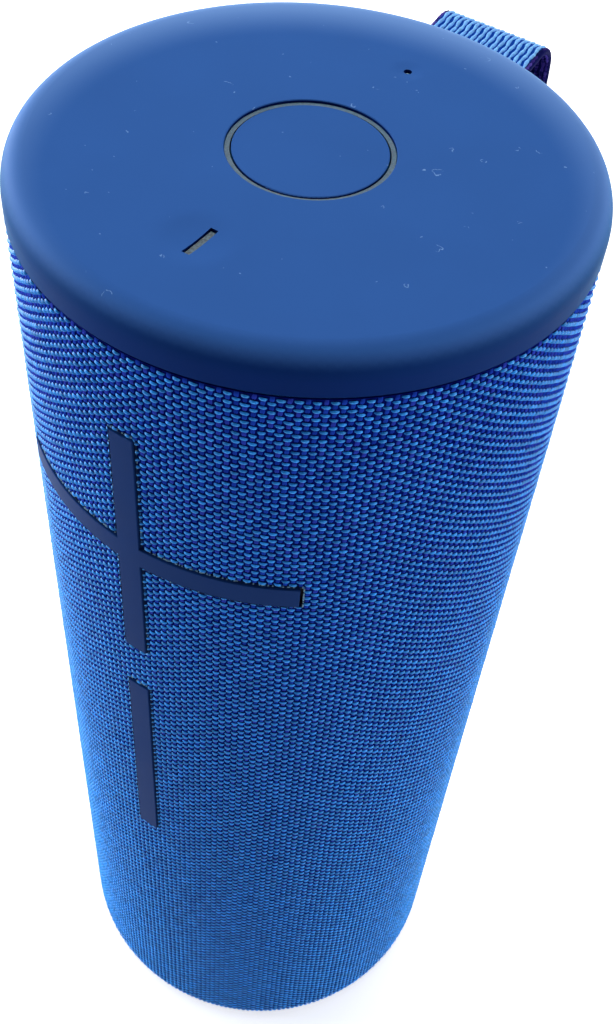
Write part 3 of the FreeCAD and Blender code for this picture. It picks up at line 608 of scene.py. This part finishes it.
def fused_edge(number, sides):
    """The melted bead round one opening, left out where another opening crosses it."""
    opening = OPENINGS[number]
    x, z = edge_walk(opening, BEAD_STEP)
    count = len(x)
    rough = RANDOM.normal(0, 1, (2, count))
    for _ in range(2):
        rough = (rough + np.roll(rough, 1, axis=1)) / 1.7
    fat = BEAD_R + 0.025 * rough[0]
    angle = opening[0] + x / SLEEVE_R
    _, out_x, out_z = depth_inside(x, z, opening)
    ring_x = (out_x * fat)[:, None] * np.cos(sides) + (out_x * BEAD_OUT)[:, None]
    ring_z = (out_z * fat)[:, None] * np.cos(sides) + (out_z * BEAD_OUT)[:, None]
    lift = -BEAD_SINK + 0.03 * rough[1][:, None] + (1.4 * fat)[:, None] * np.sin(sides)
    down = SLEEVE_TOP - z[:, None] - ring_z
    points = on_sleeve(angle[:, None] + ring_x / SLEEVE_R, down, lift)
    quads = grid_quads(count + 1, len(sides), wrap=True) % (count * len(sides))
    hidden = SLEEVE_TOP - z < 0
    for other in OPENINGS[:WITH_EDGES]:
        if other is not opening:
            depth, _, _ = depth_inside(unrolled(angle, other), z, other)
            hidden |= depth < 0.05
    keep = ~np.repeat(hidden | np.roll(hidden, -1), len(sides))
    tone = np.repeat(fused_tones(count, out_x, out_z, number == ARM), len(sides))
    return points.reshape(-1, 3), quads[keep], tone[keep]


def fused_edges(materials):
    """The heat-cut rim of the fabric round the volume marks and the port: melted yarn ends."""
    sides = np.linspace(0, 2 * math.pi, 7)[:-1]
    points, quads, shades = zip(*(fused_edge(number, sides) for number in range(WITH_EDGES)))
    return joined_object("fused_fabric_edges", points, quads, materials, shades)


# The carry loop

RIB_BLUE = (0.20, 0.50, 0.98)
RIB_SHADES = (0.88, 1.0, 1.14)
RIBS = 19
RIB_PITCH = 0.98
RIB_STEP = 0.24
PICK_PITCH = 0.95
CORE_EDGE_R = 0.35
CORE_HALF_T = 0.5
CORE_SPANS = 39

# The loop's corners as Y and Z, from its upper end in the sleeve to its lower one, and bend radii
STRAP_IN_Y = 34.3
STRAP_PATH = [
    (STRAP_IN_Y, STRAP_TOP_Z), (46.5, STRAP_TOP_Z), (58.4, 219.6), (59.5, 212.0),
    (58.4, 199.5), (48.0, STRAP_LOW_Z), (STRAP_IN_Y, STRAP_LOW_Z),
]
STRAP_BENDS = [8.0, 3.9, 25.0, 10.0, 5.0]


def rounded_path(points, radii, step):
    """Evenly spaced points, normals to the left of travel and running lengths, along lines
    joined by tangent arcs."""
    corners = np.array(points, float)
    walk = [corners[0]]
    for i, radius in enumerate(radii, 1):
        back = corners[i - 1] - corners[i]
        on = corners[i + 1] - corners[i]
        back /= np.linalg.norm(back)
        on /= np.linalg.norm(on)
        half = math.acos(float(np.clip(back @ on, -1, 1))) / 2
        bisector = (back + on) / np.linalg.norm(back + on)
        centre = corners[i] + bisector * radius / math.sin(half)
        enter = corners[i] + back * radius / math.tan(half) - centre
        leave = corners[i] + on * radius / math.tan(half) - centre
        for share in np.linspace(0, 1, 17):
            spoke = enter * (1 - share) + leave * share
            walk.append(centre + spoke * radius / np.linalg.norm(spoke))
    walk.append(corners[-1])
    walk = np.array(walk)
    length = np.concatenate([[0], np.cumsum(np.linalg.norm(np.diff(walk, axis=0), axis=1))])
    even = np.linspace(0, length[-1], int(length[-1] / step))
    line = np.stack([np.interp(even, length, walk[:, 0]), np.interp(even, length, walk[:, 1])], -1)
    travel = np.gradient(line, axis=0)
    travel /= np.linalg.norm(travel, axis=1)[:, None]
    return line, np.stack([-travel[:, 1], travel[:, 0]], -1), even


def swept(line, normals, across, out):
    """Points of sections swept along the path: across is X, out is along the normal."""
    y = line[:, 0, None] + normals[:, 0, None] * out
    z = line[:, 1, None] + normals[:, 1, None] * out
    return np.stack([np.broadcast_to(across, y.shape), y, z], -1)


def webbing_core(line, normals, even, materials):
    """Flat ground weave of the webbing, blue on its outer face only, with cross ridges."""
    half = STRAP_HALF - CORE_EDGE_R
    arc = np.linspace(-math.pi / 2, math.pi / 2, 7)
    right = np.stack([half + CORE_EDGE_R * np.cos(arc), CORE_HALF_T * np.sin(arc)], -1)
    across = np.linspace(half, -half, CORE_SPANS + 1)[1:-1]
    top = np.stack([across, np.full_like(across, CORE_HALF_T)], -1)
    section = np.concatenate([right, top, -right, -top])
    ridge = 1 + 0.10 * np.cos(2 * math.pi * even / PICK_PITCH)[:, None] * np.ones(len(section))
    points = swept(line, normals, section[:, 0], section[:, 1] * ridge)
    quads = grid_quads(len(line), len(section), wrap=True)
    place = np.arange(len(quads)) % len(section)
    on_top = (place >= len(right)) & (place < len(right) + len(top))
    return mesh_object(
        "webbing_core", points.reshape(-1, 3), quads[:, ::-1], materials, np.where(on_top, 0, 1),
    )


def webbing_ribs(line, normals, even, outer, inner):
    """Warp ribs on both faces, each a chain of soft beads that sways from side to side."""
    arc = np.linspace(0, math.pi, 6)
    points, quads, shades = [], [], []
    for face in (1, -1):
        for number in range(RIBS):
            middle = (number - (RIBS - 1) / 2) * RIB_PITCH
            phase = math.pi * (number % 2) + 0.25 * RANDOM.normal()
            bead = np.cos(math.pi * even / PICK_PITCH + phase)
            sway = np.sin(math.pi * even / (2 * PICK_PITCH) + phase * 0.5 + 0.6)
            width = 0.31 + 0.06 * bead
            height = 0.36 + 0.05 * bead
            across = middle + 0.10 * sway[:, None] + width[:, None] * np.cos(arc)
            out = face * (0.40 + height[:, None] * np.sin(arc))
            points.append(swept(line, normals, across, out).reshape(-1, 3))
            grid = grid_quads(len(line), len(arc))
            quads.append(grid[:, ::-1] if face > 0 else grid)
            first, choices = (0, len(outer)) if face > 0 else (len(outer), len(inner))
            tone = first + RANDOM.choice(choices, len(line) - 1)
            shades.append(np.repeat(tone, len(arc) - 1))
    return joined_object("webbing_ribs", points, quads, outer + inner, shades)


def webbing_selvages(line, normals, even, materials):
    """Plum and navy picks that wrap the two edges of the webbing."""
    arc = np.linspace(-2.0, 2.0, 9)
    points, quads, shades = [], [], []
    picks = (even[:-1] / PICK_PITCH + 0.5).astype(int)
    for side, phase in ((1, 0.0), (-1, 1.3)):
        swell = 0.5 + 0.5 * np.cos(2 * math.pi * even / PICK_PITCH + phase)
        reach = 0.36 + 0.12 * swell[:, None]
        across = side * (STRAP_HALF - 0.5 + reach * np.cos(arc))
        out = (0.50 + 0.18 * swell[:, None]) * np.sin(arc)
        points.append(swept(line, normals, across, out).reshape(-1, 3))
        grid = grid_quads(len(line), len(arc))
        quads.append(grid if side > 0 else grid[:, ::-1])
        tone = RANDOM.choice(len(materials), picks.max() + 1)[picks]
        shades.append(np.repeat(tone, len(arc) - 1))
    return joined_object("webbing_selvages", points, quads, materials, shades)


# Put the soft pieces together

def make_sleeve():
    materials = yarn_materials()
    backing = sleeve_backing(yarn("sleeve_shadow_layer", NAVY, 0.8))
    pieces = [woven_sector(index, materials) for index in range(SECTORS)]
    edge_looks = [
        yarn("fused_edge_navy", (0.004, 0.012, 0.05), 0.5),
        yarn("fused_edge_blue", (0.02, 0.10, 0.28), 0.5),
        yarn("fused_edge_pale", (0.15, 0.27, 0.38), 0.5),
    ]
    edges = fused_edges(edge_looks)
    for piece in (backing, *pieces, edges):
        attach(piece, "housing")
        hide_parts("fabric_sleeve")


def make_strap():
    line, normals, even = rounded_path(STRAP_PATH, STRAP_BENDS, RIB_STEP)
    azures = [
        yarn(f"webbing_rib_{i}", shade(RIB_BLUE, factor), 0.38, 0.3)
        for i, factor in enumerate(RIB_SHADES)
    ]
    plums = [
        yarn("webbing_edge_plum", (0.030, 0.018, 0.16), 0.6),
        yarn("webbing_edge_navy", (0.005, 0.006, 0.07), 0.6),
        yarn("webbing_edge_violet", (0.075, 0.050, 0.30), 0.6),
    ]
    ground = yarn("webbing_ground", (0.005, 0.055, 0.36), 0.7)
    core = webbing_core(line, normals, even, [ground, plums[1]])
    ribs = webbing_ribs(line, normals, even, azures, plums[:2])
    for piece in (core, ribs, webbing_selvages(line, normals, even, plums)):
        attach(piece, "housing")
        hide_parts("strap_loop")


# Materials of the CAD pieces, by the record's material slot

# Each rubber's own blue as a darker side colour and a paler top colour: painted shade and painted
# light
CAP_SHADE_AND_LIGHT_BLUES = (0.0005, 0.011, 0.10), (0.029, 0.103, 0.345)
MARK_SHADE_AND_LIGHT_BLUES = (0.007, 0.028, 0.122), (0.01, 0.04, 0.16)
BASE_SHADE_AND_LIGHT_BLUES = (0.004, 0.016, 0.07), (0.01, 0.03, 0.12)
GUIDE = (0.09, 0.165, 0.235)

SLOT_LOOKS = {
    # The cap's last number is the strength of its painted rim sheen
    "cap_rubber": lambda: soft_rubber("cap_rubber", *CAP_SHADE_AND_LIGHT_BLUES, 0.7, 0.46, 0.25, 0.9),
    "mark_rubber": lambda: soft_rubber("mark_rubber", *MARK_SHADE_AND_LIGHT_BLUES, 0.25, 0.42, 0.05),
    "base_rubber": lambda: soft_rubber("base_rubber", *BASE_SHADE_AND_LIGHT_BLUES, 0.1, 0.55, 0.05),
    "seal_rubber": lambda: plastic("seal_rubber", (0.012, 0.012, 0.013), 0.75, 0.6),
    "light_guide": lambda: light_guide("light_guide", GUIDE),
    "black_plastic": lambda: plastic("black_plastic", (0.018, 0.019, 0.021), 0.5),
    "grille_plastic": lambda: plastic("grille_plastic", (0.010, 0.016, 0.05), 0.55, 0.5),
    "circuit_board": lambda: circuit_board("circuit_board", (0.006, 0.045, 0.03)),
    "switch_plastic": lambda: plastic("switch_plastic", (0.03, 0.03, 0.032), 0.35),
    "plunger_plastic": lambda: plastic("plunger_plastic", (0.55, 0.54, 0.5), 0.45),
    "led_resin": lambda: light_guide("led_resin", (0.7, 0.68, 0.5)),
    "ribbon_film": lambda: shrink_wrap("ribbon_film", (0.35, 0.16, 0.03)),
    "bright_steel": lambda: metal("bright_steel", (0.62, 0.62, 0.63), 0.25),
    "screw_steel": lambda: metal("screw_steel", (0.10, 0.10, 0.11), 0.4),
    "can_aluminium": lambda: metal("can_aluminium", (0.75, 0.76, 0.77), 0.35, (12.0, 1.0, 1.0)),
    "contact_gold": lambda: metal("contact_gold", (0.83, 0.58, 0.22), 0.22),
    "cell_wrap": lambda: shrink_wrap("cell_wrap", (0.02, 0.18, 0.20)),
    "driver_steel": lambda: metal("driver_steel", (0.22, 0.22, 0.24), 0.45),
    "magnet_nickel": lambda: metal("magnet_nickel", (0.55, 0.54, 0.52), 0.3),
    "cone_pulp": lambda: paper_cone("cone_pulp", (0.035, 0.036, 0.04)),
    "radiator_plate": lambda: plastic("radiator_plate", (0.03, 0.03, 0.035), 0.4, 0.8),
}

# Light guides that lie deeper in the cap than the ring: the bar darker and more mottled, the pin
# paler as painted light against the shade of its hole
NODE_LOOKS = {
    "power_key": lambda: light_guide("light_guide_bar", (0.075, 0.14, 0.19), 0.75),
    "pairing_key": lambda: light_guide("light_guide_pin_painted_light", (0.30, 0.55, 0.62)),
}


def dress_cad_nodes():
    """Give each CAD node a look of its own, or the look of its slot in the record."""
    slot_of = {row["node"]: row["material_slot"] for row in frame["record"]["subparts"]}
    looks = SLOT_LOOKS | NODE_LOOKS
    made = {}
    for name, node in frame["nodes"].items():
        key = name if name in NODE_LOOKS else slot_of[name]
        if key not in looks:
            continue
        if key not in made:
            made[key] = looks[key]()
        node.data.materials.clear()
        node.data.materials.append(made[key])


# Stage, light and camera

FLOOR_HALF = 1600.0
FLOOR_Z = -0.05
FLOOR_GLOW = 0.6
WORLD_STRENGTH = 0.10
LIGHT_TARGET = (0.0, 0.0, 120.0)

# Soft boxes: place, width and height, power in watts
LIGHTS = {
    "key_above": ((-150.0, 350.0, 1100.0), (900.0, 900.0), 8.3),
    "back_low": ((-587.0, 989.0, 260.0), (2200.0, 420.0), 5.0),
    "side_left": ((-900.0, -150.0, 330.0), (1000.0, 640.0), 14.0),
    "side_right": ((850.0, 350.0, 330.0), (1000.0, 640.0), 5.8),
}

CAMERA_PLACE = (82.55, -132.63, 328.0)
CAMERA_HEADING, CAMERA_PITCH, CAMERA_ROLL = math.radians(30.58), 0.861, 0.089
CAMERA_LENS = 44.8
CAMERA_SENSOR = 36.0
CAMERA_SHIFT = 0.003


def make_floor():
    """Matte white paper that glows a little, as in a light tent."""
    look = Look("floor_paper", 0.9, specular=0.1)
    look.surface.inputs["Emission Color"].default_value = (1.0, 0.995, 0.985, 1.0)
    look.surface.inputs["Emission Strength"].default_value = FLOOR_GLOW
    tone = look.blend(look.noise(60.0), (0.90, 0.92, 0.92), (0.93, 0.945, 0.945))
    side = np.linspace(-FLOOR_HALF, FLOOR_HALF, 9)
    x, y = np.meshgrid(side, side)
    points = np.stack([x, y, np.full_like(x, FLOOR_Z)], -1).reshape(-1, 3)
    floor = mesh_object("floor", points, grid_quads(9, 9), [look.finish(Base_Color=tone)])


def make_world():
    world = bpy.data.worlds.new("studio")
    world.use_nodes = True
    background = world.node_tree.nodes["Background"]
    background.inputs["Color"].default_value = (0.92, 0.96, 1.0, 1.0)
    background.inputs["Strength"].default_value = WORLD_STRENGTH
    bpy.context.scene.world = world


def make_light(name, place_mm, size_mm, power):
    """A white rectangular soft box aimed at the middle of the speaker."""
    light = bpy.data.lights.new(name, "AREA")
    light.shape = "RECTANGLE"
    light.size, light.size_y = size_mm[0] * MM, size_mm[1] * MM
    light.energy = power
    lamp = bpy.data.objects.new(name, light)
    lamp.location = Vector(place_mm) * MM
    aim = (Vector(LIGHT_TARGET) - Vector(place_mm)).normalized()
    lamp.rotation_euler = aim.to_track_quat("-Z", "Y").to_euler()
    bpy.context.scene.collection.objects.link(lamp)


def make_camera():
    """Held above the front right of the speaker and looking steeply down at it."""
    ahead = Vector((-math.sin(CAMERA_HEADING), math.cos(CAMERA_HEADING), 0.0))
    level = Vector((math.cos(CAMERA_HEADING), math.sin(CAMERA_HEADING), 0.0))
    forward = ahead * math.cos(CAMERA_PITCH) - Vector((0.0, 0.0, math.sin(CAMERA_PITCH)))
    above = level.cross(forward)
    right = level * math.cos(CAMERA_ROLL) + above * math.sin(CAMERA_ROLL)
    up = above * math.cos(CAMERA_ROLL) - level * math.sin(CAMERA_ROLL)
    data = bpy.data.cameras.new("camera")
    data.sensor_fit = "VERTICAL"
    data.sensor_height = data.sensor_width = CAMERA_SENSOR
    data.lens = CAMERA_LENS
    data.shift_x = CAMERA_SHIFT
    data.clip_start = 0.01
    camera = bpy.data.objects.new("camera", data)
    turn = Matrix((right, up, -forward)).transposed().to_4x4()
    camera.matrix_world = Matrix.Translation(Vector(CAMERA_PLACE) * MM) @ turn
    bpy.context.scene.collection.objects.link(camera)
    bpy.context.scene.camera = camera


dress_cad_nodes()
make_sleeve()
make_strap()
make_floor()
make_world()
for light_name, light_row in LIGHTS.items():
    make_light(light_name, *light_row)
make_camera()
bpy.context.scene.view_settings.view_transform = "Standard"
